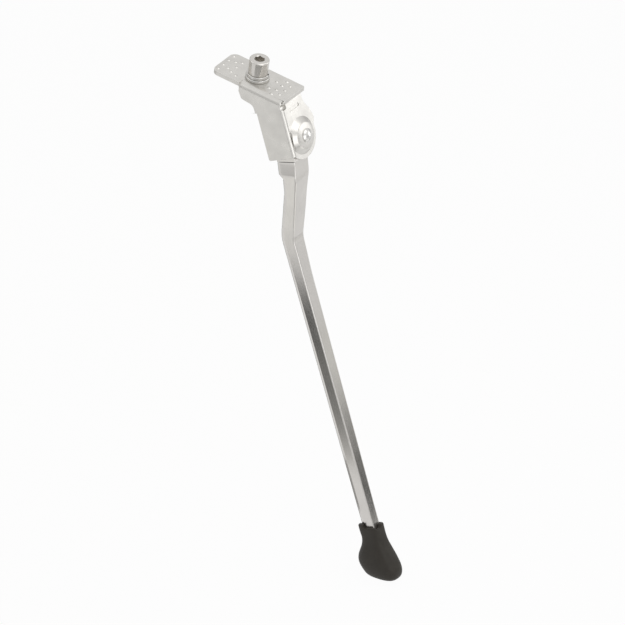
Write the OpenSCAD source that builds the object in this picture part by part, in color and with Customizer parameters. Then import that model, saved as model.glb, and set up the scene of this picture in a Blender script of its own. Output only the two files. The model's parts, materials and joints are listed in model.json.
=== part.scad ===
// Bicycle kickstand with one leg, bolted under the frame behind the bottom bracket.
// The origin is the bolt's axis on the top face of the clamping plate. +X points outboard, to the
// side where the leg stands out, +Y to the rear of the bicycle, and +Z up along the bolt.
// The leg is drawn down, against its parked stop.

/* [Housing] */
// Thickness of the folded steel sheet
sheet = 3; // [2.8:0.1:3.1]
// Plate length from the bolt to the inboard end
plate_inboard = 27; // [22:0.5:32]
// Plate length from the bolt to the outboard end
plate_outboard = 28.2; // [27.6:0.1:29]
// Width of the plate
plate_w = 25.2; // [25:0.1:26]
// Corner radius at the inboard end of the plate
plate_corner_r = 4.6; // [2:0.2:8]
// Outer radius of the fold between the plate and the front wall
fold_r = 4; // [3.4:0.1:5]
// Height of the pressed pips on the plate
pip_h = 0.55; // [0.2:0.05:0.8]

/* [Pivot] */
// Rise of the pivot axis above the horizontal
axis_rise = 24; // [23:0.5:25]
// Distance of the pivot below the bolt, measured down the walls
pivot_drop = 40; // [39.5:0.1:40.5]
// Outer face of the outboard wall, measured along the pivot axis
wall_out = 23.8; // [23.6:0.1:24]
// Outer face of the inboard wall, measured along the pivot axis
wall_in = 1.7; // [1.5:0.1:1.9]
// Radius of the round lower end of both walls
ear_r = 14.6; // [14.4:0.1:14.8]
// Base radius of the pressed boss
boss_r = 12.4; // [11.8:0.1:12.5]
// Height of the pressed boss
boss_h = 4.2; // [3.8:0.1:4.4]
// Radius of the rivet shanks
rivet_r = 3.5; // [3:0.1:4]
// Running clearance of the leg on the rivets
pivot_play = 0.05; // [0.02:0.01:0.1]

/* [Leg] */
// Width of the slot in the fork that the spring runs in
slot_w = 6.9; // [6.8:0.1:7.4]
// Distance of the pivot from the flats of the fork
flat_d = 9.5; // [9.4:0.05:9.55]
// Front face of the leg below the housing, measured forward of the pivot
bar_front = 11.3; // [10.8:0.1:12]
// Rounding of the leg's front edge on the outboard side
crest_r = 0.9; // [0.5:0.1:1.5]
// Width of the narrow facet along the front inboard edge
facet_w = 2.9; // [2:0.1:3.5]

/* [Foot] */
// Length of the leg inside the boot
leg_in_boot = 16; // [12:1:20]
// Height of the tab on the boot's rim
tab_h = 2.4; // [1:0.2:3]
// Depth of the dip in the boot's rim on the outboard side
dip_h = 2.2; // [1:0.2:3]

/* [Bolt] */
// Thread diameter
bolt_d = 8; // [8:1:8]
// Length under the head
bolt_len = 20; // [16:1:20]
// Diameter of the head
head_d = 13; // [12.8:0.1:13.2]
// Height of the head
head_h = 10.4; // [8:0.1:10.6]
// Socket size across flats
socket_af = 6; // [6:1:6]

/* [Hidden] */
$fn = 64;
eps = 0.01;

half_w = plate_w / 2;
step_x = -5.4;                         // where the front wall's fold begins on the plate's front edge
ear_drop = pivot_drop + 0.8;           // the ears' round ends sit a little below the pivot
front_in = -half_w + sheet;            // inner face of the front wall
wall_out_inner = wall_out - sheet;
wall_in_inner = wall_in + sheet;
boss_face = wall_out + boss_h;
boss_inner = boss_face - sheet;
boss_top_r = 8.8;
boss_crown = 1;                        // rise of the boss's top from its rim to the rivet
thrust_t = 1;
thrust_r = 6.8;
run_gap = 0.1;                         // side play between the fork and its washers
fork_in = wall_in_inner + thrust_t + run_gap;
fork_out = wall_out_inner - 0.3;
pad_top = boss_inner - thrust_t - run_gap;
slot_from = (fork_in + fork_out) / 2 - slot_w / 2 - 0.3;
slot_to = slot_from + slot_w;
rivet_head_r = 4.6;
rivet_head_h = 2.4;
flat_washer_t = 2;
spring_washer_t = 2.2;
head_z = flat_washer_t + spring_washer_t;

// The spring's pins: the anchor hangs high between the walls, the other sits ahead of the pivot and
// below it, so that the spring's pull crosses the pivot halfway through the swing.
anchor_y = 0.5;
anchor_drop = 20.5;
pin_r = 1.8;
leg_pin_arm = 8.2;
leg_pin_y = -leg_pin_arm * sin(45);
leg_pin_drop = pivot_drop + leg_pin_arm * cos(45);
wire_r = 0.8;
hook_r = 2.75;
coil_r = 2.4;
spring_span = norm([leg_pin_y - anchor_y, leg_pin_drop - anchor_drop]);
spring_turns = floor((spring_span - 2 * hook_r) / (2 * wire_r + 0.02));

// Geometry helpers

function unit(v) = v / norm(v);
function arc(centre, r, from, to, n) =
    [for (i = [0:n]) centre + r * [cos(from + (to - from) * i / n), sin(from + (to - from) * i / n)]];
// Points that round the corner b between its neighbours a and c
function corner(a, b, c, r, n) =
    let (u = unit(a - b), v = unit(c - b), half = acos(u * v) / 2,
         centre = b + unit(u + v) * r / sin(half),
         p = b + u * r / tan(half) - centre, q = b + v * r / tan(half) - centre,
         from = atan2(p.y, p.x), turn = (atan2(q.y, q.x) - from + 540) % 360 - 180)
    arc(centre, r, from, from + turn, n);
// Outline from points [x, y, corner radius]
function rounded(points, n = 6) =
    let (m = len(points), at = function (i) [points[i][0], points[i][1]])
    [for (i = [0:m - 1])
        each points[i][2] > 0
            ? corner(at((i + m - 1) % m), at(i), at((i + 1) % m), points[i][2], n)
            : [at(i)]];
// Smooth curve through the rows of a table, at the position u in rows
function smooth(rows, u) =
    let (m = len(rows) - 1, i = min(floor(u), m - 1), f = u - i,
         a = rows[max(i - 1, 0)], b = rows[i], c = rows[i + 1], d = rows[min(i + 2, m)])
    (2 * b + (c - a) * f + (2 * a - 5 * b + 4 * c - d) * f * f + (3 * b - 3 * c + d - a) * f * f * f) / 2;
// Solid through equal rings of points, closed at both ends
module loft(rings) {
    n = len(rings[0]);
    m = len(rings);
    polyhedron(
        points = [for (ring = rings) each ring],
        faces = concat(
            [[for (i = [0:n - 1]) i]],
            [for (k = [0:m - 2], i = [0:n - 1])
                [k * n + i, (k + 1) * n + i, (k + 1) * n + (i + 1) % n, k * n + (i + 1) % n]],
            [[for (i = [n - 1:-1:0]) (m - 1) * n + i]]),
        convexity = 6);
}
// The walls' own frame: x runs along the pivot axis, z up the walls
module in_walls() rotate([0, -axis_rise, 0]) children();
// Extrudes an outline drawn in y and z along x, from one place to another
module slab(from, to) translate([from, 0, 0]) rotate([90, 0, 90]) linear_extrude(to - from) children();
// A round bar along the pivot axis
module bar_x(from, to, r) translate([from, 0, 0]) rotate([0, 90, 0]) cylinder(h = to - from, r = r);
module at_pivot() translate([0, 0, -pivot_drop]) children();

// Housing

module plate() {
    translate([0, 0, -sheet]) linear_extrude(sheet) polygon(rounded([
        [-plate_inboard, -half_w, plate_corner_r], [step_x, -half_w, 0], [step_x, -half_w + fold_r, 0],
        [plate_outboard, -half_w + fold_r, 0], [plate_outboard, half_w, 0.8],
        [-plate_inboard, half_w, plate_corner_r]]));
}
// Pressed pips in staggered rows, mirrored about the plate's centre line
module pips() {
    pip_r = 1.6;
    rows = [[-24.5, [3.1, 8.9]], [-20, [4.5]], [-16.2, [0, 6.4]], [-11.5, [8]],
            [12, [4.5]], [17, [3.1, 8.9]], [21.5, [0, 6]]];
    for (row = rows, y = row[1], side = y > 0 ? [-1, 1] : [1])
        translate([row[0], side * y, pip_h - pip_r]) sphere(r = pip_r, $fn = 20);
}
// Fold between the plate and the front wall, with the wall cut to its outline
module front_wall() {
    slab(step_x, plate_outboard) difference() {
        translate([-half_w, -fold_r]) square(fold_r);
        translate([-half_w + fold_r, -fold_r]) circle(r = fold_r - sheet);
        difference() {
            translate([-half_w - 1, -fold_r]) square([fold_r + 1, fold_r + 1]);
            translate([-half_w + fold_r, -fold_r]) circle(r = fold_r);
        }
    }
    translate([0, front_in, 0]) rotate([90, 0, 0]) linear_extrude(sheet) polygon(rounded([
        [step_x, -fold_r, 0], [step_x, -6.6, 1.5], [-2.6, -11.4, 1.8], [6.6, -12.4, 4],
        [wall_corner(wall_in, 53.2).x, wall_corner(wall_in, 53.2).y, 2],
        [wall_corner(wall_out, 50.4).x, wall_corner(wall_out, 50.4).y, 1.5],
        [plate_outboard - 0.1, -fold_r - 1.2, 0], [plate_outboard - 0.1, -fold_r, 0]]));
}
// Place in x and z of a point given along the pivot axis and down the walls
function wall_corner(s, t) =
    [s * cos(axis_rise) + t * sin(axis_rise), s * sin(axis_rise) - t * cos(axis_rise)];
// The round lower end of a side wall, from the front edge to the given angle
function ear(to) = arc([-0.4, -ear_drop], ear_r, -180 + acos((half_w - 0.4) / ear_r), to, 24);
module outboard_wall() {
    slab(wall_out_inner, wall_out)
        polygon([each ear(10), [15.8, -34.6], [15.4, -31.6], [13.5, -26.8], [10.2, -21.6], [9.4, -19],
                 [8.8, -8], [-half_w, -8]]);
    at_pivot() rotate([0, 90, 0]) rotate_extrude() polygon(rounded([
        [0, wall_out_inner, 0], [boss_r, wall_out_inner, 0], [boss_r, wall_out, 0],
        [boss_top_r, boss_face - boss_crown, 2.4], [rivet_head_r, boss_face, 0], [0, boss_face, 0]]));
}
module inboard_wall() {
    slab(wall_in, wall_in_inner)
        polygon([each ear(10), each rounded([[12.4, -30, 0], [9.6, -17.5, 3], [-half_w, -17.5, 0]])]);
}
// What is left of a square corner outside its rounding, as a rod down the walls
module fold_cutter(x, side, r, from_drop) {
    to_drop = 62;
    translate([x, -half_w, -to_drop]) mirror([side, 0, 0])
        linear_extrude(to_drop - from_drop) difference() {
            translate([-1, -1]) square(r + 1);
            translate([r, r]) circle(r = r);
        }
}
module housing() {
    groove_l = 11;
    groove_w = 2.2;
    groove_drop = 20;
    hole_r = bolt_d / 2 + 0.3;
    slit = 0.4;                        // gap between the plate and the outboard wall
    reach = 50;
    color("silver") difference() {
        union() {
            plate();
            pips();
            front_wall();
            in_walls() {
                outboard_wall();
                inboard_wall();
            }
        }
        // The plate's clearance hole
        translate([0, 0, -sheet - 1]) cylinder(h = sheet + 2, r = hole_r);
        // Slit under the plate, and all of the walls that would stand beside or above it
        translate([wall_corner(wall_out_inner, 0).x, front_in + slit, -sheet - slit])
            cube([reach, reach, slit]);
        translate([plate_outboard, -reach / 2, -sheet - slit]) cube(reach);
        translate([8, -reach / 2, pip_h + eps]) cube(reach);
        // Relief notch where the folds meet
        translate([plate_outboard + slit, -half_w - 1, -sheet - 1.3]) rotate([-90, 0, 0])
            cylinder(h = fold_r + 1.4, r = 2.2, $fn = 32);
        in_walls() {
            fold_cutter(wall_out, 1, 2.4, 4);
            fold_cutter(wall_in, 0, 1.4, 19.5);
            at_pivot() {
                // Hollow of the boss
                rotate([0, 90, 0]) rotate_extrude() polygon([
                    [0, wall_out_inner - 1], [boss_r - 1.6, wall_out_inner - 1],
                    [boss_r - 1.6, wall_out_inner], [boss_top_r - 1.3, boss_inner], [0, boss_inner]]);
                bar_x(wall_in - 1, boss_face + 1, rivet_r);
            }
            // Short pressed groove above the boss
            translate([wall_out - 0.5, -0.8, -groove_drop]) rotate([0, 90, 0]) linear_extrude(1) {
                square([groove_w, groove_l - groove_w], center = true);
                for (side = [-1, 1]) translate([0, side * (groove_l - groove_w) / 2]) circle(d = groove_w);
            }
        }
    }
}

// Fasteners

module weld_nut() {
    nut_h = 6.5;
    nut_af = 13;
    color("darkgray") translate([0, 0, -sheet - nut_h]) difference() {
        // The cone takes off the lower corners of the hexagon
        intersection() {
            cylinder(h = nut_h, d = nut_af / cos(30), $fn = 6);
            cylinder(h = nut_h, r1 = nut_af / 2 + 0.2, r2 = nut_af / 2 + 0.2 + nut_h);
        }
        translate([0, 0, -1]) cylinder(h = nut_h + 2, d = bolt_d);
    }
}
module clamp_bolt() {
    socket_depth = 5.6;
    color("gainsboro") difference() {
        rotate_extrude() polygon(rounded([
            [0, head_z - bolt_len, 0], [bolt_d / 2 - 0.9, head_z - bolt_len, 0],
            [bolt_d / 2, head_z - bolt_len + 0.9, 0], [bolt_d / 2, head_z, 0],
            [head_d / 2 - 0.3, head_z, 0], [head_d / 2, head_z + 0.3, 0],
            [head_d / 2, head_z + head_h, 0.9], [0, head_z + head_h, 0]]));
        translate([0, 0, head_z + head_h - socket_depth])
            cylinder(h = socket_depth + 1, d = socket_af / cos(30), $fn = 6);
        translate([0, 0, head_z + head_h - 0.5])
            cylinder(h = 0.5 + eps, r1 = socket_af / 2 - 0.02, r2 = socket_af / 2 + 0.5);
    }
}
module washer(t, inner_r, outer_r, edge) {
    rotate_extrude() polygon([
        [inner_r, 0], [outer_r - edge, 0], [outer_r, edge],
        [outer_r, t - edge], [outer_r - edge, t], [inner_r, t]]);
}
module spring_washer() {
    split_w = 1.2;
    split_angle = 25;
    color("lightgray") translate([0, 0, flat_washer_t]) difference() {
        washer(spring_washer_t, bolt_d / 2 + 0.15, 7.2, 0.25);
        rotate([0, 0, split_angle]) translate([5.8, 0, spring_washer_t / 2]) rotate([35, 0, 0])
            cube([6, split_w, 12], center = true);
    }
}
module flat_washer() {
    color("silver") washer(flat_washer_t, bolt_d / 2 + 0.2, 7.9, 0.3);
}
// Round head of a rivet: a low dome on a short edge
module rivet_head() {
    edge_h = 0.5;
    dome_h = rivet_head_h - edge_h;
    dome_r = (rivet_head_r * rivet_head_r + dome_h * dome_h) / (2 * dome_h);
    rotate([0, 90, 0]) {
        cylinder(h = edge_h, r = rivet_head_r);
        translate([0, 0, edge_h]) intersection() {
            translate([0, 0, dome_h - dome_r]) sphere(r = dome_r, $fn = 96);
            cylinder(h = dome_h + 1, r = rivet_head_r);
        }
    }
}
module pivot_rivet_outboard() {
    color("gainsboro") in_walls() at_pivot() {
        bar_x(slot_to + 0.1, boss_face, rivet_r);
        translate([boss_face, 0, 0]) rivet_head();
    }
}
module pivot_rivet_inboard() {
    color("gainsboro") in_walls() at_pivot() {
        bar_x(wall_in, slot_from - 0.1, rivet_r);
        translate([wall_in, 0, 0]) mirror([1, 0, 0]) rivet_head();
    }
}
module thrust_washer(x) {
    in_walls() at_pivot() translate([x, 0, 0]) rotate([0, 90, 0]) washer(thrust_t, rivet_r, thrust_r, 0.1);
}
module thrust_washer_outboard() color("dimgray") thrust_washer(boss_inner - thrust_t);
module thrust_washer_inboard() color("dimgray") thrust_washer(wall_in_inner);

// Spring and its pins

module spring_anchor_pin() {
    color("darkgray") in_walls() translate([0, anchor_y, -anchor_drop])
        bar_x(wall_in_inner, wall_out_inner, pin_r);
}
module spring_leg_pin() {
    color("darkgray") in_walls() translate([0, leg_pin_y, -leg_pin_drop])
        bar_x(fork_in + 0.1, fork_out - 0.1, pin_r);
}
// One ring of the wire, across the coil at the given angle
function coil_ring(angle, z) = [for (i = [0:7])
    let (r = coil_r + wire_r * cos(i * 45)) [r * cos(angle), r * sin(angle), z + wire_r * sin(i * 45)]];
// Hook bent from the last turn: an open loop round the pin and the bar that carries it
module hook() {
    loop_turn = 290;
    rotate([0, 90, 0]) {
        rotate_extrude(angle = loop_turn) translate([hook_r, 0]) circle(r = wire_r, $fn = 16);
        translate([hook_r, 0, 0]) cylinder(h = coil_r, r = wire_r, $fn = 16);
    }
}
module spring() {
    steps = 14;
    span = spring_span - 2 * hook_r;
    tilt = atan2(leg_pin_y - anchor_y, leg_pin_drop - anchor_drop);
    color("dimgray") in_walls()
        translate([(slot_from + slot_to) / 2, leg_pin_y, -leg_pin_drop]) rotate([tilt, 0, 0]) {
            translate([0, 0, hook_r])
                loft([for (k = [spring_turns * steps:-1:0])
                    coil_ring(k * 360 / steps, span * k / (spring_turns * steps))]);
            rotate([0, 180, 0]) mirror([1, 0, 0]) hook();
            translate([0, 0, spring_span]) hook();
        }
}

// Leg

// Corners of the leg's front outboard edge, seen from the front, with the bend radii
crest = [[39.2, -38.2, 0], [44.4, -54, 26], [47.9, -98.3, 18], [131.7, -280, 0]];
// Sizes down the leg, by height in z: width across, front face in y and back face in y
width_by_z = [[-300, 9.2], [-272, 9.4], [-110, 10.4], [-97, 10.3], [-85, 9.9], [-72, 9.5], [-65, 9.4],
              [-60, 9.8], [-57, 10.9], [-55, 12.4], [-52, 13.5], [-49, 15], [-46, 15.3], [-38, 12]];
front_by_z = [[-300, -bar_front], [-52, -bar_front], [-43, -9.2], [-38, -9.2]];
back_by_z = [[-300, -3.2], [-272, -3.3], [-235, -2.8], [-165, -1.9], [-120, -1], [-105, -0.2], [-95, 1.3],
             [-80, 2.6], [-62, 3.4], [-50, 5.4], [-44, 6.2], [-38, 6.4]];
function crest_path() =
    let (c = crest, d = unit([c[3].x - c[2].x, c[3].y - c[2].y]),
         at = function (i) [c[i].x, c[i].y], tip = at(3) + d * leg_in_boot,
         a = corner(at(0), at(1), at(2), c[1][2], 5), b = corner(at(1), at(2), at(3), c[2][2], 7))
    concat([at(0), (at(0) + a[0]) / 2], a,
           [for (i = [1:3]) a[5] + (b[0] - a[5]) * i / 4], b,
           [for (i = [1:9]) b[7] + (tip - b[7]) * i / 9]);
// Section of the bar: across from the crest, and back from the front face
function section(w, d) =
    let (facet_angle = 24, back_r = min(1.8, d / 4), drop = facet_w * tan(facet_angle))
    rounded([[0, 0, crest_r], [0, d, back_r], [w, d, back_r], [w, drop, 0.5], [w - facet_w, 0, 0.6]], 3);
function leg_ring(p, direction, grow) =
    let (across = [direction.y, -direction.x], w = lookup(p.y, width_by_z),
         front = lookup(p.y, front_by_z), d = lookup(p.y, back_by_z) - front)
    [for (q = section(w + 2 * grow, d + 2 * grow))
        let (s = q.x - grow) [p.x + across.x * s, front - grow + q.y, p.y + across.y * s]];
// Rings of the bar from one point of the path on, grown all round by a margin
function leg_rings(from, grow) =
    let (path = crest_path(), m = len(path) - 1)
    [for (k = [m:-1:from])
        leg_ring(path[k], unit(path[min(k + 1, m)] - path[max(k - 1, 0)]), grow)];
// Fork head: flats in front and on top meet the front wall at the two stops
module fork_head() {
    heel = 9.4;
    head_drop = 15;
    slab(fork_in, fork_out) polygon([
        [-flat_d, -head_drop], [7.6, -head_drop],
        each rounded([[heel, 1, 0], [heel, flat_d, 1.6], [0, flat_d, 0]], 5),
        each arc([0, 0], flat_d, 90, 180, 14)]);
    bar_x(fork_out - 1, pad_top, thrust_r);
}
module leg() {
    slot_depth = 10.6;
    color("gainsboro") difference() {
        union() {
            loft(leg_rings(0, 0));
            in_walls() at_pivot() fork_head();
        }
        in_walls() {
            at_pivot() {
                translate([slot_from, -20, -slot_depth]) cube([slot_w, 40, 40]);
                bar_x(fork_in - 1, boss_face, rivet_r + pivot_play);
            }
            translate([0, leg_pin_y, -leg_pin_drop]) bar_x(fork_in - 1, fork_out + 1, pin_r);
        }
    }
}

// Foot

// Sections of the boot from its mouth to the sole: distance down the leg's line, half width across,
// half depth in y, tilt of the section, squareness of its corners and shift to the outboard side
boot_rows = [[-3, 7.3, 5.7, 24.7, 4, 0], [0, 7.4, 5.8, 24.7, 4, 0], [3, 7.3, 5.8, 24.7, 4, 0],
             [7, 7.3, 5.9, 24.7, 3.6, 0], [12, 8.4, 6.4, 22, 3.2, -0.6], [17, 10.8, 7.4, 17, 2.8, -1.1],
             [22, 13.2, 8.3, 12, 2.6, -1.3], [27.5, 14.5, 8.8, 8, 2.6, -1.2],
             [32.5, 12.9, 8.2, 8, 2.6, -0.9], [35.2, 10.9, 6.6, 8, 2.6, -1.6],
             [35.9, 9.3, 4.8, 8, 2.6, -2.4]];
boot_mouth = [128.8, -8.1, -283.4];
leg_lean = 24.7;
boot_grip = 0.1;                       // the rubber is this much tighter all round than the leg
function boot_ring(row) =
    let (c = boot_mouth + row[0] * [sin(leg_lean), 0, -cos(leg_lean)], n = 40)
    [for (i = [0:n - 1])
        let (a = 360 * i / n, ca = cos(a), sa = sin(a), e = 2 / row[4],
             x = row[1] * sign(ca) * pow(abs(ca), e), y = row[2] * sign(sa) * pow(abs(sa), e))
        [c.x + row[5] + x * cos(row[3]), c.y + y, c.z + x * sin(row[3])]];
module foot() {
    steps = 3;
    m = len(boot_rows) - 1;
    reach = 20;
    dip_r = 3.2;
    dip_y = -1.2;
    tab = [[-reach, -reach, 0], [-2.6, -reach, 0], [-2.6, -1.5, 2], [-reach, -1.5, 0]];
    color([0.22, 0.2, 0.18]) difference() {
        loft([for (k = [m * steps:-1:0]) boot_ring(smooth(boot_rows, k / steps))]);
        loft(leg_rings(len(crest_path()) - 3, -boot_grip));
        translate(boot_mouth) rotate([0, -leg_lean, 0]) {
            // The rim is level but for a tab at the front inboard corner and a dip outboard
            difference() {
                translate([-reach, -reach, 0]) cube(2 * reach);
                translate([0, 0, -1]) linear_extrude(1 + tab_h) polygon(rounded(tab));
            }
            translate([boot_rows[0][1] / 2, dip_y, dip_r - dip_h]) rotate([0, 90, 0])
                cylinder(h = reach, r = dip_r);
        }
    }
}

housing();
weld_nut();
clamp_bolt();
spring_washer();
flat_washer();
pivot_rivet_outboard();
pivot_rivet_inboard();
thrust_washer_outboard();
thrust_washer_inboard();
spring_anchor_pin();
spring();
leg();
spring_leg_pin();
foot();
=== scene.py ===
# %% [markdown]
# A bicycle kickstand, dressed around its CAD frame.
# The real thing is a folded and plated steel clamp, a polished alloy leg on a riveted pivot, and
# a rubber boot. The CAD model already has every size, so nothing is measured again here. The
# lesson shows how to turn exact but hard-edged solids into believable metal and rubber.

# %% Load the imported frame
import json
import math

import bmesh
import bpy
from mathutils import Matrix, Vector


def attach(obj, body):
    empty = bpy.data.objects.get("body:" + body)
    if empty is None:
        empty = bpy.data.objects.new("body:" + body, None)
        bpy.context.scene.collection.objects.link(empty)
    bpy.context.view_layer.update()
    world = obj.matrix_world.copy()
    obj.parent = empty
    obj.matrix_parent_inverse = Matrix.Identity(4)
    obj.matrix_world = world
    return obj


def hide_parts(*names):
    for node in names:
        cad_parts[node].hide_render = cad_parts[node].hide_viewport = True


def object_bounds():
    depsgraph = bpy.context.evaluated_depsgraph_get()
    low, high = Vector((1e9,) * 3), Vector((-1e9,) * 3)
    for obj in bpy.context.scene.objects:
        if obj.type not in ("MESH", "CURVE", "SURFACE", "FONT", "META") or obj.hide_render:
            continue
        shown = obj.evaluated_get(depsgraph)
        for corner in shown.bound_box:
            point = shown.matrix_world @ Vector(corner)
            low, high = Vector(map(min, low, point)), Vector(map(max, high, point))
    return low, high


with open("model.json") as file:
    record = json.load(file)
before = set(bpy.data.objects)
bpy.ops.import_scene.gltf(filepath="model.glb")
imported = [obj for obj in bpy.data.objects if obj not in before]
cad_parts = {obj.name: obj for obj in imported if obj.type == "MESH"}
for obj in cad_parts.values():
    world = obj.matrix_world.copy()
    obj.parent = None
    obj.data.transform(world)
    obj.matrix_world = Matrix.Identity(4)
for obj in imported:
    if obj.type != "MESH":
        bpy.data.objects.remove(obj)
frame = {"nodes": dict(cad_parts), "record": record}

cad_low, cad_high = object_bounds()
bodies = frame["record"]["behaviour"]["bodies"]
body_of = {node: body for body, nodes in bodies.items() for node in nodes}
cad_size = [round(1000 * v) for v in cad_high - cad_low]
print("CAD nodes:", len(frame["nodes"]), "box in mm:", cad_size)

# %% [markdown]
# The camera comes first, because every choice of material is judged through it. The photograph
# was taken with a long lens, so an orthographic camera matches it to about a pixel: parallel
# edges stay parallel. Its three directions were found by matching the plate, the pivot and the
# foot.

# %% Camera at the photograph's angle
def put_in_scene(name, data):
    """A new object with this data, linked to the scene."""
    item = bpy.data.objects.new(name, data)
    bpy.context.scene.collection.objects.link(item)
    return item


MM = 0.001
PIXEL = 0.637 * MM
PHOTO_SIZE = 625
CAMERA_DISTANCE = 2.0
view_right = Vector((0.8186, 0.5656, 0.1003)).normalized()
view_back = view_right.cross(Vector((-0.3929, 0.4242, 0.8158))).normalized()
view_up = view_back.cross(view_right)
look_at = 35.1 * MM * view_right - 149.8 * MM * view_up - 54 * MM * view_back

camera = put_in_scene("photo_camera", bpy.data.cameras.new("photo_camera"))
camera.data.type = "ORTHO"
camera.data.ortho_scale = PIXEL * PHOTO_SIZE
place = Matrix((view_right, view_up, view_back)).transposed().to_4x4()
place.translation = look_at + CAMERA_DISTANCE * view_back
camera.matrix_world = place
bpy.context.scene.camera = camera
bpy.context.scene.view_settings.view_transform = "Standard"
print("camera sees", round(camera.data.ortho_scale / MM), "mm across")

# %% [markdown]
# Helpers for node trees. A shader is a small program drawn as boxes and wires, and in a script
# two short functions are enough to add a box with its settings and to plug wires into it.


# %% Node helpers
def add_node(tree, kind, settings=None, **sockets):
    """A node of this kind, with its settings, and with values or wires on its named inputs."""
    node = tree.nodes.new(kind)
    for key, value in (settings or {}).items():
        setattr(node, key, value)
    for key, value in sockets.items():
        plug(tree, value, socket_named(node, key))
    return node


def socket_named(node, key):
    """The input called key, with _ for a blank; in0, in1 and so on pick an input by its place."""
    if key.startswith("in") and key[2:].isdigit():
        return node.inputs[int(key[2:])]
    return node.inputs[key.replace("_", " ")]


def plug(tree, value, socket):
    """Joins a wire to the socket, or sets its value where no wire is given."""
    if isinstance(value, bpy.types.NodeSocket):
        tree.links.new(value, socket)
    else:
        socket.default_value = value


def math_node(tree, operation, first, second=0.0, clamp=False):
    """The output of a Math node on two wires or numbers."""
    settings = {"operation": operation, "use_clamp": clamp}
    return add_node(tree, "ShaderNodeMath", settings, in0=first, in1=second).outputs[0]


def new_group(name, kind, inputs, outputs):
    """A node group with named sockets: inputs are (name, type, default), outputs (name, type)."""
    group = bpy.data.node_groups.new(name, kind)
    for label, socket_type, default in inputs:
        socket = group.interface.new_socket(name=label, in_out="INPUT", socket_type=socket_type)
        if default is not None:
            socket.default_value = default
    for label, socket_type in outputs:
        group.interface.new_socket(name=label, in_out="OUTPUT", socket_type=socket_type)
    given = group.nodes.new("NodeGroupInput").outputs
    return group, given, group.nodes.new("NodeGroupOutput").inputs


print("node helpers ready")

# %% [markdown]
# The stage is a pale floor and an even white studio. Metal shows what is round it, so a studio
# photographer lights the room, not the metal, and sets dark cards where a dark stripe should run
# down a polished bar. The floor answers the camera with plain white but keeps a trace of the
# object's shadow. The room is a little darker towards the horizon, which gives rounded metal a
# soft waist.

# %% Floor and world
FLOOR_GAP = 0.4 * MM
FLOOR_HALF = 6.0
FLOOR_COLOUR = (0.82, 0.82, 0.81, 1)
FLOOR_WHITE = 0.96
ROOM_LIGHT = 0.45
HORIZON_TONE = 0.6
HORIZON_HEIGHT = 0.45
WHITE = (1, 1, 1, 1)


def seen_directly(tree, share):
    """A value that is share for rays from the camera, a mirror or glass, and otherwise 0."""
    path = tree.nodes.new("ShaderNodeLightPath").outputs
    seen = math_node(tree, "MAXIMUM", path["Is Camera Ray"], path["Is Glossy Ray"])
    seen = math_node(tree, "MAXIMUM", seen, path["Is Transmission Ray"])
    return math_node(tree, "MULTIPLY", seen, share)


def flat_face(name, corners):
    """An object of one flat face with these corners."""
    mesh = bpy.data.meshes.new(name)
    mesh.from_pydata([tuple(c) for c in corners], [], [tuple(range(len(corners)))])
    return put_in_scene(name, mesh)


floor_z = cad_low.z - FLOOR_GAP
floor = flat_face("studio_floor", [(x * FLOOR_HALF, y * FLOOR_HALF, floor_z)
                                   for x, y in ((-1, -1), (1, -1), (1, 1), (-1, 1))])
floor_paint = bpy.data.materials.new("pale_floor")
floor_paint.use_nodes = True
tree = floor_paint.node_tree
tree.nodes.clear()
matt = add_node(tree, "ShaderNodeBsdfDiffuse", Color=FLOOR_COLOUR)
white = add_node(tree, "ShaderNodeEmission", Color=WHITE, Strength=1.0)
mixed = add_node(tree, "ShaderNodeMixShader", in0=seen_directly(tree, FLOOR_WHITE),
                 in1=matt.outputs[0], in2=white.outputs[0])
add_node(tree, "ShaderNodeOutputMaterial", Surface=mixed.outputs[0])
floor.data.materials.append(floor_paint)

world = bpy.data.worlds.new("white_studio")
world.use_nodes = True
bpy.context.scene.world = world
tree = world.node_tree
tree.nodes.clear()
direction = tree.nodes.new("ShaderNodeTexCoord").outputs["Generated"]
upward = add_node(tree, "ShaderNodeSeparateXYZ", in0=direction)
dusk = add_node(tree, "ShaderNodeMapRange", Value=upward.outputs["Z"],
                From_Max=HORIZON_HEIGHT, To_Min=HORIZON_TONE)
path = tree.nodes.new("ShaderNodeLightPath").outputs
shaded = add_node(tree, "ShaderNodeMix", in0=path["Is Glossy Ray"], in2=ROOM_LIGHT,
                  in3=dusk.outputs[0])
strength = math_node(tree, "MAXIMUM", shaded.outputs[0],
                     math_node(tree, "MAXIMUM", path["Is Camera Ray"], path["Is Transmission Ray"]))
sky = add_node(tree, "ShaderNodeBackground", Color=WHITE, Strength=strength)
add_node(tree, "ShaderNodeOutputWorld", Surface=sky.outputs[0])
print("floor at", round(floor_z / MM, 1), "mm")

# %% [markdown]
# Four soft lamps shape the form. A large one hangs overhead for the body of the light. Two stand
# low on the right, behind and in front: the outer wall of the housing mirrors them, so they make
# it the brightest face, as in the photograph. The last is a weak fill. Each is an area lamp aimed
# at a point.


# %% Lamps
def soft_lamp(name, spot, aim, size, radiance):
    """A square area lamp whose mirror image is as bright as its radiance, where 1 is white."""
    lamp = bpy.data.lights.new(name, "AREA")
    lamp.shape, lamp.size, lamp.energy = "SQUARE", size, radiance * math.pi * size ** 2
    item = put_in_scene(name, lamp)
    item.rotation_mode = "QUATERNION"
    item.location = Vector(spot)
    item.rotation_quaternion = (Vector(aim) - Vector(spot)).to_track_quat("-Z", "Y")
    item.visible_camera = False


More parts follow.
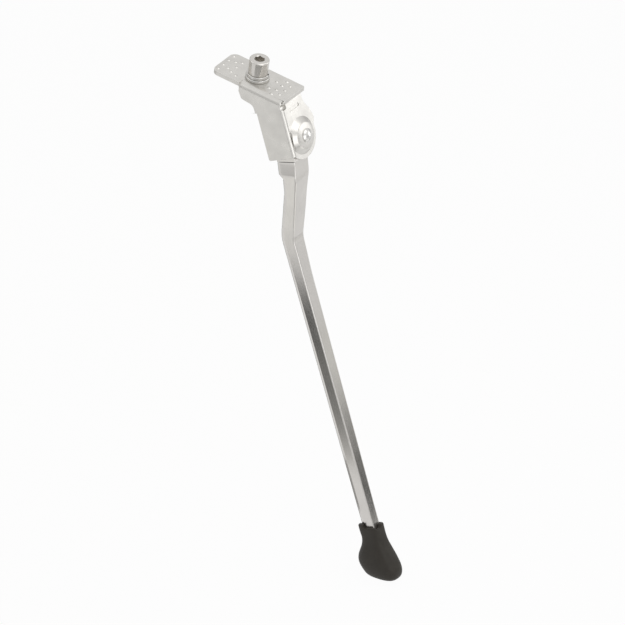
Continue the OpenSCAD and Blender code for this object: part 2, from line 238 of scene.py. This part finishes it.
pivot_spot = Vector((38, -4, -26)) * MM
rear_right = pivot_spot + 0.5 * Vector((0.703, 0.707, 0.23))
front_right = pivot_spot + 0.6 * Vector((0.86, -0.50, 0.16))
soft_lamp("overhead_panel", (0.26, 0.06, 0.62), (0.06, 0, -0.05), size=0.62, radiance=0.9)
soft_lamp("rear_right_panel", rear_right, pivot_spot, size=0.30, radiance=1.3)
soft_lamp("front_right_panel", front_right, pivot_spot, size=0.44, radiance=1.1)
soft_lamp("left_fill", (-0.7, -0.5, 0.35), (0.06, 0, -0.15), size=0.5, radiance=0.5)

# %% [markdown]
# Dark cards give the polished leg its stripes. The front face of the leg mirrors the floor ahead
# of it and the outer face mirrors the room behind it, so a row of cards stands in each of those
# places. They go from black to grey, because the stripe in the photograph fades towards the foot,
# and one bright card lifts the front face above the bend. Two single cards are for the narrow
# facet and for the sloping shoulder below the housing. Three more lie in a ring on the floor for
# the upright cylinder of the bolt head: two dark and one bright. Cards are hidden from the camera
# and from plain shading, and only mirrors see them.

# %% Cards
CARD_LIFT = 1.0 * MM
CARD_WARMTH = 0.97
BEND_X, BEND_Z = 47.9, -98.3
LEG_SLOPE = 0.4612
LEG_FRONT, FACET_MIDDLE, SIDE_MIDDLE = -11.3, -11, -6


def leg_point(z, y):
    """A point on the leg's front outboard edge at this height, moved to the given y; all in mm."""
    return Vector((BEND_X - LEG_SLOPE * (z - BEND_Z), y, z)) * MM


def mirrored_ray(normal):
    """The direction in which the camera's line of sight leaves a face with this normal."""
    n = Vector(normal).normalized()
    return 2 * n.dot(view_back) * n - view_back


def mirror_card(name, corners, tone):
    """A card seen only in reflections, with its corners and its grey."""
    card = flat_face(name, corners)
    paint = bpy.data.materials.new(name + "_paint")
    paint.use_nodes = True
    nodes = paint.node_tree
    nodes.nodes.clear()
    glow = add_node(nodes, "ShaderNodeEmission", Color=(tone, tone, tone * CARD_WARMTH, 1),
                    Strength=1.0)
    add_node(nodes, "ShaderNodeOutputMaterial", Surface=glow.outputs[0])
    card.data.materials.append(paint)
    card.visible_camera = card.visible_diffuse = card.visible_shadow = False


def on_floor(start, ray):
    """Where a ray from a point of the leg meets the cards' level, just above the floor."""
    return start + ray * (floor_z + CARD_LIFT - start.z) / ray.z


def card_between(name, near, far, side, tone):
    """A four-cornered card round the line from near to far, as wide as side to either hand."""
    mirror_card(name, [near - side, far - side, far + side, near + side], tone)


# A card in the two rows: the heights on the leg between which its image shows, and its grey
UP = Vector((0, 0, 1))
FRONT_HALF, REAR_HALF = 60 * MM, 55 * MM
front_ray = mirrored_ray((0, -1, 0))
front_row = [(-50, -92, 1.15), (-124, -165, 0.10), (-165, -206, 0.24), (-206, -226, 0.36),
             (-226, -240, 0.62)]
for k, (high, low, tone) in enumerate(front_row):
    near, far = (on_floor(leg_point(z, LEG_FRONT), front_ray) for z in (high, low))
    side = (near - far).cross(UP).normalized() * FRONT_HALF
    card_between(f"front_card_{k}", near, far, side, tone)

REAR_DISTANCE = 0.36
rear_ray = mirrored_ray((0.9085, 0, 0.4179))
rear_row = [(-150, -206, 0.84), (-206, -236, 0.25), (-236, -292, 0.08)]
for k, (high, low, tone) in enumerate(rear_row):
    top, bottom = (leg_point(z, SIDE_MIDDLE) + REAR_DISTANCE * rear_ray for z in (high, low))
    bottom.z = max(bottom.z, floor_z + CARD_LIFT)
    side = rear_ray.cross(UP).normalized() * REAR_HALF
    card_between(f"rear_card_{k}", bottom, top, side, tone)

FACET_HEIGHTS = (-236, -268)
FACET_HALF = Vector((0, 14, 0)) * MM
facet_ray = mirrored_ray((-0.3695, -0.9135, -0.17))
near, far = (on_floor(leg_point(z, FACET_MIDDLE), facet_ray) for z in FACET_HEIGHTS)
card_between("facet_card", near, far, FACET_HALF, tone=0.4)

SLOPE_HALF_WIDE, SLOPE_HALF_TALL = 0.13, 0.09
slope_ray = mirrored_ray((0, -0.974, 0.225))
slope_middle = Vector((30, -10, -50)) * MM + slope_ray
side = slope_ray.cross(UP).normalized() * SLOPE_HALF_WIDE
tall = side.cross(slope_ray).normalized() * SLOPE_HALF_TALL
card_between("slope_card", slope_middle - tall, slope_middle + tall, side, tone=0.35)

# Each card round the bolt: its name, the angles between which it lies, in degrees, and its grey
BOLT_RING = (0.45, 0.64)
RING_STEPS = 8
around_bolt = [("front", -98, -8, 0.38), ("right", -8, 42, 1.5), ("left", 122, 216, 0.55)]
for label, start, end, tone in around_bolt:
    turns = [math.radians(start + (end - start) * k / RING_STEPS) for k in range(RING_STEPS + 1)]
    rim = [Vector((radius * math.cos(a), radius * math.sin(a), floor_z + CARD_LIFT / 2))
           for radius, angles in zip(BOLT_RING, (turns, turns[::-1])) for a in angles]
    mirror_card(f"bolt_card_{label}", rim, tone)

# %% [markdown]
# Shared surface effects. Paler edges, mottle and fine grain turn up on every metal here, so each
# is a shader node group, built once. On the metals the paler edges are partly wear and partly a
# painted highlight. A group hands back only masks, colours or heights that change over the
# surface. The shader itself stays in each material, where the exporter can read it.

# %% Edge band group, for wear and a painted highlight
EDGE_GAIN = 7.0
# The mask marks rounded edges, broken up by noise. The metals paint this band paler, partly as wear
# and partly as a painted highlight; the rubber uses it for dust on its edges.
group, given, result = new_group(
    "edge_band_mask", "ShaderNodeTree",
    [("Width", "NodeSocketFloat", 0.4 * MM), ("Scale", "NodeSocketFloat", 300.0),
     ("Vector", "NodeSocketVector", None)],
    [("Mask", "NodeSocketFloat")])
rounded = add_node(group, "ShaderNodeBevel", {"samples": 4}, Radius=given["Width"])
facing = group.nodes.new("ShaderNodeNewGeometry").outputs["Normal"]
turned = add_node(group, "ShaderNodeVectorMath", {"operation": "DOT_PRODUCT"},
                  in0=rounded.outputs[0], in1=facing)
bent = math_node(group, "SUBTRACT", 1.0, turned.outputs["Value"])
edge = math_node(group, "MULTIPLY", bent, EDGE_GAIN, True)
breakup = add_node(group, "ShaderNodeTexNoise", Vector=given["Vector"], Scale=given["Scale"],
                 Detail=3.0)
broken = add_node(group, "ShaderNodeMapRange", Value=breakup.outputs["Fac"],
                  From_Min=0.35, From_Max=0.6)
group.links.new(math_node(group, "MULTIPLY", edge, broken.outputs[0], True), result["Mask"])
edge_band_mask = group

# %% Mottle group
group, given, result = new_group(
    "plating_mottle", "ShaderNodeTree",
    [("Colour", "NodeSocketColor", (0.6, 0.6, 0.6, 1)), ("Amount", "NodeSocketFloat", 0.08),
     ("Scale", "NodeSocketFloat", 60.0), ("Vector", "NodeSocketVector", None)],
    [("Colour", "NodeSocketColor"), ("Mask", "NodeSocketFloat")])
clouds = add_node(group, "ShaderNodeTexNoise", Vector=given["Vector"], Scale=given["Scale"],
                  Detail=4.0, Roughness=0.6)
spread = add_node(group, "ShaderNodeMapRange", Value=clouds.outputs["Fac"],
                  From_Min=0.3, From_Max=0.7)
shade = math_node(group, "MULTIPLY", spread.outputs[0], given["Amount"])
darker = add_node(group, "ShaderNodeHueSaturation", Color=given["Colour"],
                  Value=math_node(group, "SUBTRACT", 1.0, shade))
group.links.new(darker.outputs[0], result["Colour"])
group.links.new(spread.outputs[0], result["Mask"])
plating_mottle = group

# %% Grain group
group, given, result = new_group(
    "drawn_grain", "ShaderNodeTree",
    [("Stretch", "NodeSocketVector", (1.0, 1.0, 0.02)),
     ("Turn", "NodeSocketVector", (0.0, 0.0, 0.0)),
     ("Scale", "NodeSocketFloat", 2500.0), ("Vector", "NodeSocketVector", None)],
    [("Height", "NodeSocketFloat")])
turned = add_node(group, "ShaderNodeMapping", Vector=given["Vector"], Rotation=given["Turn"])
laid = add_node(group, "ShaderNodeMapping", Vector=turned.outputs[0], Scale=given["Stretch"])
lines = add_node(group, "ShaderNodeTexNoise", Vector=laid.outputs[0], Scale=given["Scale"],
                 Detail=2.0)
group.links.new(lines.outputs["Fac"], result["Height"])
drawn_grain = group
print("shader groups:", [g.name for g in bpy.data.node_groups])

# %% [markdown]
# One recipe makes every metal: a mottled colour that is paler on the edges, partly from wear and
# partly as a painted highlight, a roughness that wanders with the mottle and the grain, and a bump
# from the grain. What differs is the colour, how rough it is and which way the grain runs, so
# those are the recipe's values. Colours are linear, which is why they look darker than they render.


# %% Metal recipe
# The colour of the paler edge band: worn metal and a painted highlight.
WORN_AND_HIGHLIT_METAL = (0.86, 0.85, 0.83, 1)
ROUGH_BASE, ROUGH_WANDER, ROUGH_STREAK = 0.68, 0.35, 0.3
GRAIN_SCALE = 2500.0
GRAIN_DEPTH = 0.05 * MM


def metal(name, colour, roughness, mottle=0.08, mottle_scale=60.0, wear_and_highlight=0.25, wear_and_highlight_width=0.4,
          stretch=(1, 1, 1), turn=(0, 0, 0), bump=0.12):
    """A metal with mottle and grain, its edges paled by wear and a painted highlight; band width in
    mm, stretch along the grain.
    """
    paint = bpy.data.materials.new(name)
    paint.use_nodes = True
    tree = paint.node_tree
    shader = tree.nodes["Principled BSDF"]
    where = tree.nodes.new("ShaderNodeTexCoord").outputs["Object"]
    patchy = add_node(tree, "ShaderNodeGroup", {"node_tree": plating_mottle},
                      Colour=(*colour, 1), Amount=mottle, Scale=mottle_scale, Vector=where)
    edge_band = add_node(tree, "ShaderNodeGroup", {"node_tree": edge_band_mask},
                    Width=wear_and_highlight_width * MM, Vector=where)
    grain = add_node(tree, "ShaderNodeGroup", {"node_tree": drawn_grain},
                     Stretch=stretch, Turn=turn, Scale=GRAIN_SCALE, Vector=where)
    # The edge band is painted paler here: partly wear, partly a painted highlight along the edge.
    bright = add_node(tree, "ShaderNodeMix", {"data_type": "RGBA"},
                      in0=math_node(tree, "MULTIPLY", edge_band.outputs["Mask"], wear_and_highlight),
                      in6=patchy.outputs["Colour"], in7=WORN_AND_HIGHLIT_METAL)
    tree.links.new(bright.outputs[2], shader.inputs["Base Color"])
    wander = math_node(tree, "MULTIPLY", patchy.outputs["Mask"], roughness * ROUGH_WANDER)
    streak = math_node(tree, "MULTIPLY", grain.outputs["Height"], roughness * ROUGH_STREAK)
    rough = math_node(tree, "ADD", math_node(tree, "ADD", wander, streak), roughness * ROUGH_BASE)
    tree.links.new(rough, shader.inputs["Roughness"])
    relief = add_node(tree, "ShaderNodeBump", Strength=bump, Distance=GRAIN_DEPTH,
                      Height=grain.outputs["Height"])
    tree.links.new(relief.outputs[0], shader.inputs["Normal"])
    shader.inputs["Metallic"].default_value = 1.0
    return paint


LEG_LEAN = math.radians(24.7)
# A high edge share on the sheet and the leg paints a highlight along their edges and on the pips,
# on top of some wear.
zinc_sheet = metal("zinc_plated_sheet", (0.65, 0.635, 0.605), 0.30, mottle=0.10,
                   mottle_scale=90, wear_and_highlight=0.55, wear_and_highlight_width=0.5)
bolt_plating = metal("bright_bolt_plating", (0.61, 0.59, 0.56), 0.17, mottle=0.05,
                     stretch=(0.04, 0.04, 1))
washer_plating = metal("washer_plating", (0.62, 0.61, 0.59), 0.24, stretch=(0.1, 0.1, 1))
rivet_plating = metal("rivet_plating", (0.64, 0.63, 0.61), 0.22, mottle=0.10,
                      mottle_scale=300, bump=0.2)
polished_alloy = metal("polished_alloy", (0.625, 0.605, 0.58), 0.20, mottle=0.06,
                       mottle_scale=40, wear_and_highlight=0.6, wear_and_highlight_width=0.7, stretch=(1, 1, 0.015),
                       turn=(0, LEG_LEAN, 0), bump=0.10)
inner_steel = metal("oiled_inner_steel", (0.33, 0.32, 0.31), 0.36, mottle=0.2, mottle_scale=200)
spring_wire = metal("drawn_spring_wire", (0.20, 0.20, 0.21), 0.32, mottle=0.15,
                    mottle_scale=300, wear_and_highlight=0.1)
metals = (zinc_sheet, bolt_plating, washer_plating, rivet_plating, polished_alloy, inner_steel,
          spring_wire)
print("metals:", [paint.name for paint in metals])

# %% [markdown]
# Rubber is dark, a little brown, and soft to the light. It has a fine skin from the mould, and
# dust makes its sole and its edges paler. The dust rises a few millimetres from the floor and is
# broken up by the same mottle as the metals. Its surface is rougher than any metal here, so only
# a faint sheen is left.

# %% Boot rubber
RUBBER, DUST = (0.040, 0.035, 0.028, 1), (0.12, 0.11, 0.095, 1)
DUST_START, DUST_FULL = floor_z + 9 * MM, floor_z + 1 * MM
DUST_AMOUNT, DUST_ON_EDGES = 0.30, 0.6
SKIN_ROUGH, SKIN_CHANGE = 0.42, 0.2
boot_rubber = bpy.data.materials.new("moulded_rubber")
boot_rubber.use_nodes = True
tree = boot_rubber.node_tree
shader = tree.nodes["Principled BSDF"]
where = tree.nodes.new("ShaderNodeTexCoord").outputs["Object"]
patchy = add_node(tree, "ShaderNodeGroup", {"node_tree": plating_mottle},
                  Colour=RUBBER, Amount=0.25, Scale=110.0, Vector=where)
edge_band = add_node(tree, "ShaderNodeGroup", {"node_tree": edge_band_mask},
                Width=0.8 * MM, Scale=220.0, Vector=where)
height = add_node(tree, "ShaderNodeSeparateXYZ", in0=where).outputs["Z"]
low = add_node(tree, "ShaderNodeMapRange", Value=height, From_Min=DUST_START, From_Max=DUST_FULL)
on_sole = math_node(tree, "MULTIPLY", low.outputs[0], patchy.outputs["Mask"])
on_edges = math_node(tree, "MULTIPLY", edge_band.outputs["Mask"], DUST_ON_EDGES)
dusty = math_node(tree, "MAXIMUM", on_sole, on_edges)
tint = add_node(tree, "ShaderNodeMix", {"data_type": "RGBA"},
                in0=math_node(tree, "MULTIPLY", dusty, DUST_AMOUNT),
                in6=patchy.outputs["Colour"], in7=DUST)
tree.links.new(tint.outputs[2], shader.inputs["Base Color"])
skin = add_node(tree, "ShaderNodeTexNoise", Vector=where, Scale=1800.0, Detail=5.0, Roughness=0.7)
change = math_node(tree, "MULTIPLY", skin.outputs["Fac"], SKIN_CHANGE)
tree.links.new(math_node(tree, "ADD", change, SKIN_ROUGH), shader.inputs["Roughness"])
relief = add_node(tree, "ShaderNodeBump", Strength=0.25, Distance=0.08 * MM,
                  Height=skin.outputs["Fac"])
tree.links.new(relief.outputs[0], shader.inputs["Normal"])
shader.inputs["Specular IOR Level"].default_value = 0.3
print("rubber ready")

# %% [markdown]
# A CAD solid has razor-sharp edges that no pressed, forged or turned piece has, and light never
# catches them. So each visible solid gets a finished copy: its loose triangles are welded, flat
# areas are merged into single faces, a Bevel modifier rounds the true edges, and smooth shading
# does the rest.


# %% Finished copies of CAD solids
WELD_DISTANCE = 0.002 * MM
FLAT_ANGLE = 0.6
BEVEL_SEGMENTS = 2


def merge_flat_areas(work, verts, edges, angle=FLAT_ANGLE):
    """Joins neighbouring faces that turn by less than the angle, in degrees."""
    bmesh.ops.dissolve_limit(work, angle_limit=math.radians(angle), verts=verts, edges=edges)


def welded_copy(node, name):
    """A copy of a CAD node's mesh with its points merged and its flat areas joined."""
    mesh = frame["nodes"][node].data.copy()
    mesh.name = name
    work = bmesh.new()
    work.from_mesh(mesh)
    bmesh.ops.remove_doubles(work, verts=work.verts, dist=WELD_DISTANCE)
    merge_flat_areas(work, work.verts, work.edges)
    work.to_mesh(mesh)
    work.free()
    mesh.materials.clear()
    return put_in_scene(name, mesh)


def bake_modifiers(item):
    """Puts the result of the item's modifiers into its mesh and takes the modifiers off."""
    bpy.context.view_layer.update()
    seen = item.evaluated_get(bpy.context.evaluated_depsgraph_get())
    mesh = bpy.data.meshes.new_from_object(seen)
    item.modifiers.clear()
    item.data = mesh
    return item


def round_edges(item, width, edge_angle=50):
    """Rounds the edges that are sharper than edge_angle by width in mm."""
    bevel = item.modifiers.new("rounded_edges", "BEVEL")
    bevel.width, bevel.segments = width * MM, BEVEL_SEGMENTS
    bevel.limit_method, bevel.angle_limit = "ANGLE", math.radians(edge_angle)
    bevel.use_clamp_overlap = False
    return bake_modifiers(item)


def smooth_faces(item, smooth_angle=32):
    """Shades the item smooth up to smooth_angle and keeps its large faces flat in the shading."""
    limit = math.radians(smooth_angle)
    work = bmesh.new()
    work.from_mesh(item.data)
    for face in work.faces:
        face.smooth = True
    for edge in work.edges:
        edge.smooth = len(edge.link_faces) == 2 and edge.calc_face_angle() < limit
    work.to_mesh(item.data)
    work.free()
    even = item.modifiers.new("flat_faces", "WEIGHTED_NORMAL")
    even.keep_sharp = True
    return bake_modifiers(item)


def finish_piece(item, node, paint):
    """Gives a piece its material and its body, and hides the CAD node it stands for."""
    item.data.materials.clear()
    item.data.materials.append(paint)
    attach(item, body_of[node])
    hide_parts(node)


print("roundings have", BEVEL_SEGMENTS, "segments; areas within", FLAT_ANGLE, "degrees are joined")

# %% [markdown]
# The housing's solid has one fault to mend on its copy: the outboard wall pokes half a millimetre
# through the plate, as a low strip that the real sheet doesn't have. A cutter with the profile of
# the plate and its front fold takes the strip off before the edges are rounded. A Boolean leaves
# thin slivers along such a cut, and rounding would turn them into dark specks, so they are merged
# away first.


# %% Strip on the plate
STRIP_SPAN = (22.45 * MM, 29 * MM)
FOLD_START, FOLD_R, FOLD_STEPS = -8.6 * MM, 4.0 * MM, 16
CUTTER_SPARE = 1.0 * MM
CUT_WELD, CUT_SLIVER, CUT_ANGLE = 0.03 * MM, 0.01 * MM, 1.5


def strip_cutter():
    """A prism that lies on the plate and on its front fold, over the strip's whole length."""
    bend = [math.pi / 2 * k / FOLD_STEPS for k in range(FOLD_STEPS + 1)]
    front, back = FOLD_START - FOLD_R - CUTTER_SPARE, CUTTER_SPARE - FOLD_START
    side = [(front, CUTTER_SPARE), (back, CUTTER_SPARE), (back, 0)]
    side += [(FOLD_START - FOLD_R * math.sin(a), FOLD_R * math.cos(a) - FOLD_R) for a in bend]
    side += [(front, -FOLD_R)]
    count = len(side)
    around = [(k, (k + 1) % count, (k + 1) % count + count, k + count) for k in range(count)]
    ends = [tuple(range(count))[::-1], tuple(range(count, 2 * count))]
    mesh = bpy.data.meshes.new("strip_cutter")
    mesh.from_pydata([(x, *point) for x in STRIP_SPAN for point in side], [], around + ends)
    work = bmesh.new()
    work.from_mesh(mesh)
    bmesh.ops.recalc_face_normals(work, faces=work.faces)
    work.to_mesh(mesh)
    work.free()
    return put_in_scene("strip_cutter", mesh)


def near_strip(work):
    """The points on the plate's outboard end and on the fold in front of it."""
    lowest = -FOLD_R - 0.1 * MM
    return [vert for vert in work.verts if vert.co.x > STRIP_SPAN[0] and vert.co.z > lowest]


def trim_strip(item):
    """Cuts off what the outboard wall's solid leaves above the plate, and clears the slivers."""
    cutter = strip_cutter()
    cut = item.modifiers.new("trimmed_strip", "BOOLEAN")
    cut.operation, cut.solver, cut.object = "DIFFERENCE", "EXACT", cutter
    bake_modifiers(item)
    bpy.data.objects.remove(cutter)
    work = bmesh.new()
    work.from_mesh(item.data)
    bmesh.ops.remove_doubles(work, verts=near_strip(work), dist=CUT_WELD)
    bmesh.ops.dissolve_degenerate(work, edges=work.edges, dist=CUT_SLIVER)
    points = near_strip(work)
    near = set(points)
    edges = [edge for edge in work.edges if not near.isdisjoint(edge.verts)]
    merge_flat_areas(work, points, edges, CUT_ANGLE)
    merge_flat_areas(work, work.verts, work.edges)
    print("trimmed housing, open edges:", sum(len(edge.link_faces) != 2 for edge in work.edges))
    work.to_mesh(item.data)
    work.free()


print("fold radius in mm:", round(FOLD_R / MM, 2))

# %% [markdown]
# With the helpers in place, the pressed, turned and drawn steel parts go through one loop. A row
# of the table gives the CAD node, the new piece's name, the rounding of its edges in millimetres,
# its material and its slot. Where the rounding is 0, the edges stay as the CAD model has them.

# %% Steel parts
finished = [
    ("housing", "pressed_housing", 0.2, zinc_sheet, "pressed_steel"),
    ("weld_nut", "hex_weld_nut", 0, inner_steel, "inner_steel"),
    ("spring_washer", "split_washer", 0.15, washer_plating, "washer_steel"),
    ("flat_washer", "plain_washer", 0, washer_plating, "washer_steel"),
    ("pivot_rivet_outboard", "outboard_rivet", 0, rivet_plating, "rivet_steel"),
    ("pivot_rivet_inboard", "inboard_rivet", 0, rivet_plating, "rivet_steel"),
    ("thrust_washer_outboard", "outboard_thrust_ring", 0, inner_steel, "inner_steel"),
    ("thrust_washer_inboard", "inboard_thrust_ring", 0, inner_steel, "inner_steel"),
    ("spring_anchor_pin", "spring_hanger_pin", 0.15, inner_steel, "inner_steel"),
    ("spring_leg_pin", "fork_spring_pin", 0.15, inner_steel, "inner_steel"),
]
for node, name, width, paint, slot in finished:
    piece = welded_copy(node, name)
    if node == "housing":
        trim_strip(piece)
    if width:
        round_edges(piece, width)
    finish_piece(smooth_faces(piece), node, paint)
    print(f"{name}: {len(piece.data.polygons)} faces")

# %% [markdown]
# The leg is a forged and polished bar with a narrow facet along its inboard front edge. That
# facet turns by only 24 degrees, so its edges are rounded from a smaller angle than elsewhere.
# The weighted normals then keep every long face flat, which is what makes the stripes in its
# reflections run straight.

# %% Leg
LEG_ROUNDING = 0.3
leg = round_edges(welded_copy("leg", "forged_leg"), LEG_ROUNDING, edge_angle=18)
smooth_faces(leg, smooth_angle=70)
finish_piece(leg, "leg", polished_alloy)
print("forged_leg:", len(leg.data.polygons), "faces")

# %% [markdown]
# The boot is moulded rubber, and a mould leaves no sharp edge anywhere. Its copy is rebuilt from
# fine cubes with a Remesh modifier and then smoothed, which melts every edge by the same small
# radius.

# %% Boot
VOXEL = 0.45
MELT_SHARE, MELT_ROUNDS = 0.5, 5
boot = welded_copy("foot", "rubber_boot")
cubes = boot.modifiers.new("fine_cubes", "REMESH")
cubes.mode, cubes.voxel_size, cubes.use_smooth_shade = "VOXEL", VOXEL * MM, True
melt = boot.modifiers.new("melted_edges", "SMOOTH")
melt.factor, melt.iterations = MELT_SHARE, MELT_ROUNDS
finish_piece(bake_modifiers(boot), "foot", boot_rubber)
print("rubber_boot:", len(boot.data.polygons), "faces")

# %% [markdown]
# The bolt's CAD solid has a plain shank. On the real bolt a thread shows below the nut, so the
# shank is turned down to the thread's root there. The thread itself is made further on, together
# with the spring, because both are a section swept along a spiral.

# %% Bolt
THREAD_TOP, THREAD_END = -9.6, -15.4
THREAD_R, THREAD_ROOT, PITCH = 4.0, 3.4, 1.25
NECK = 0.3
bolt = welded_copy("clamp_bolt", "socket_bolt")
work = bmesh.new()
work.from_mesh(bolt.data)
for z in (THREAD_TOP, THREAD_TOP + NECK):
    everything = work.verts[:] + work.edges[:] + work.faces[:]
    bmesh.ops.bisect_plane(work, geom=everything, plane_co=(0, 0, z * MM), plane_no=(0, 0, 1))
for vert in work.verts:
    reach = math.hypot(vert.co.x, vert.co.y)
    if vert.co.z < (THREAD_TOP + NECK / 3) * MM and reach > THREAD_ROOT * MM:
        vert.co.x, vert.co.y = (v * THREAD_ROOT * MM / reach for v in (vert.co.x, vert.co.y))
work.to_mesh(bolt.data)
work.free()
finish_piece(smooth_faces(bolt), "clamp_bolt", bolt_plating)
print("socket_bolt:", len(bolt.data.polygons), "faces")

# %% [markdown]
# The spring hides in the fork, but it shows from behind. It is one wire: a hook round each pin
# and a coil between them. The script works out the wire's centre line, and Geometry Nodes sweep a
# round section along it, with the wire's thickness as a named input. The bolt's thread is the
# same node group again, with a section of four sides, which makes a ridge.

# %% Centre line of the snap spring
AXIS_RISE = math.radians(24)
SLOT_MIDDLE = 12.9
ANCHOR = Vector((SLOT_MIDDLE, 0.5, -20.5))
FORK_PIN = Vector((SLOT_MIDDLE, -5.798, -45.798))
HOOK_R, COIL_R, WIRE_R = 2.75, 2.4, 0.8
HOOK_TURN, HOOK_STEP = 290, 10
TURNS, STEPS = 12, 24
span = (ANCHOR - FORK_PIN).length
along = (ANCHOR - FORK_PIN).normalized()
across = Vector((1, 0, 0))
walls = Matrix.Rotation(-AXIS_RISE, 4, "Y")


def spring_point(x, y, z):
    """From the spring's own axes, in mm, to the CAD frame in metres."""
    return walls @ (FORK_PIN + x * across + y * along.cross(across) + z * along) * MM


def hook_points(z, side):
    """An open loop round a pin, from its free end to the end of the coil."""
    turns = [math.radians(a) for a in range(HOOK_TURN, -1, -HOOK_STEP)]
    return [(0, HOOK_R * math.sin(a), z - side * HOOK_R * math.cos(a)) for a in turns]


coil_low, coil_high = HOOK_R, span - HOOK_R
coil_rise = (coil_high - coil_low) / (TURNS * STEPS)
helix = [(COIL_R * math.cos(math.tau * k / STEPS), COIL_R * math.sin(math.tau * k / STEPS),
          coil_low + coil_rise * k) for k in range(TURNS * STEPS + 1)]
wire_line = hook_points(0, -1) + helix + hook_points(span, 1)[::-1]


def centre_line(name, points):
    """A curve object through points given in metres."""
    line = bpy.data.curves.new(name, "CURVE")
    line.dimensions, line.twist_mode = "3D", "Z_UP"
    spline = line.splines.new("POLY")
    spline.points.add(len(points) - 1)
    for point, place in zip(spline.points, points):
        point.co = (*place, 1)
    return put_in_scene(name, line)


spring_line = centre_line("spring_line", [spring_point(*p) for p in wire_line])
thread_turns = (THREAD_TOP - THREAD_END) / PITCH
thread_angles = [math.tau * k / STEPS for k in range(int(thread_turns * STEPS))]
thread_line = centre_line("thread_line", [
    Vector((THREAD_ROOT * math.cos(a), THREAD_ROOT * math.sin(a),
            THREAD_END + PITCH * a / math.tau)) * MM for a in thread_angles])
print("spring wire:", len(wire_line), "points over", round(span, 1), "mm")
print("thread turns:", round(thread_turns, 1))


# %% Wire swept by Geometry Nodes
def set_input(modifier, label, value):
    """Sets a Geometry Nodes modifier's input by its name, through the socket's identifier."""
    for socket in modifier.node_group.interface.items_tree:
        if socket.item_type == "SOCKET" and socket.in_out == "INPUT" and socket.name == label:
            modifier[socket.identifier] = value


WIRE_SIDES, RIDGE_SIDES = 12, 4
sweep, given, result = new_group(
    "swept_wire", "GeometryNodeTree",
    [("Geometry", "NodeSocketGeometry", None), ("Wire radius", "NodeSocketFloat", WIRE_R * MM),
     ("Sides", "NodeSocketInt", WIRE_SIDES), ("Material", "NodeSocketMaterial", None)],
    [("Geometry", "NodeSocketGeometry")])
section = add_node(sweep, "GeometryNodeCurvePrimitiveCircle", Resolution=given["Sides"],
                   Radius=given["Wire radius"])
swept = add_node(sweep, "GeometryNodeCurveToMesh", Curve=given["Geometry"],
                 Profile_Curve=section.outputs["Curve"], Fill_Caps=True)
real = add_node(sweep, "GeometryNodeRealizeInstances", Geometry=swept.outputs[0])
painted = add_node(sweep, "GeometryNodeSetMaterial", Geometry=real.outputs[0],
                   Material=given["Material"])
sweep.links.new(painted.outputs[0], result["Geometry"])


def swept_piece(item, name, radius, sides, paint, smooth_angle):
    """Sweeps the section along the object's curve and returns the plain mesh under a new name."""
    modifier = item.modifiers.new("swept_wire", "NODES")
    modifier.node_group = sweep
    set_input(modifier, "Wire radius", radius * MM)
    set_input(modifier, "Sides", sides)
    set_input(modifier, "Material", paint)
    bpy.context.view_layer.update()
    seen = item.evaluated_get(bpy.context.evaluated_depsgraph_get())
    mesh = bpy.data.meshes.new_from_object(seen)
    bpy.data.objects.remove(item)
    mesh.name = name
    return smooth_faces(put_in_scene(name, mesh), smooth_angle)


snap_spring = swept_piece(spring_line, "snap_spring", WIRE_R, WIRE_SIDES, spring_wire,
                          smooth_angle=60)
finish_piece(snap_spring, "spring", spring_wire)
bolt_thread = swept_piece(thread_line, "bolt_thread", THREAD_R - THREAD_ROOT, RIDGE_SIDES,
                          bolt_plating, smooth_angle=30)
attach(bolt_thread, "housing")
for item in (snap_spring, bolt_thread):
    print(f"{item.name}:", len(item.data.polygons), "faces")
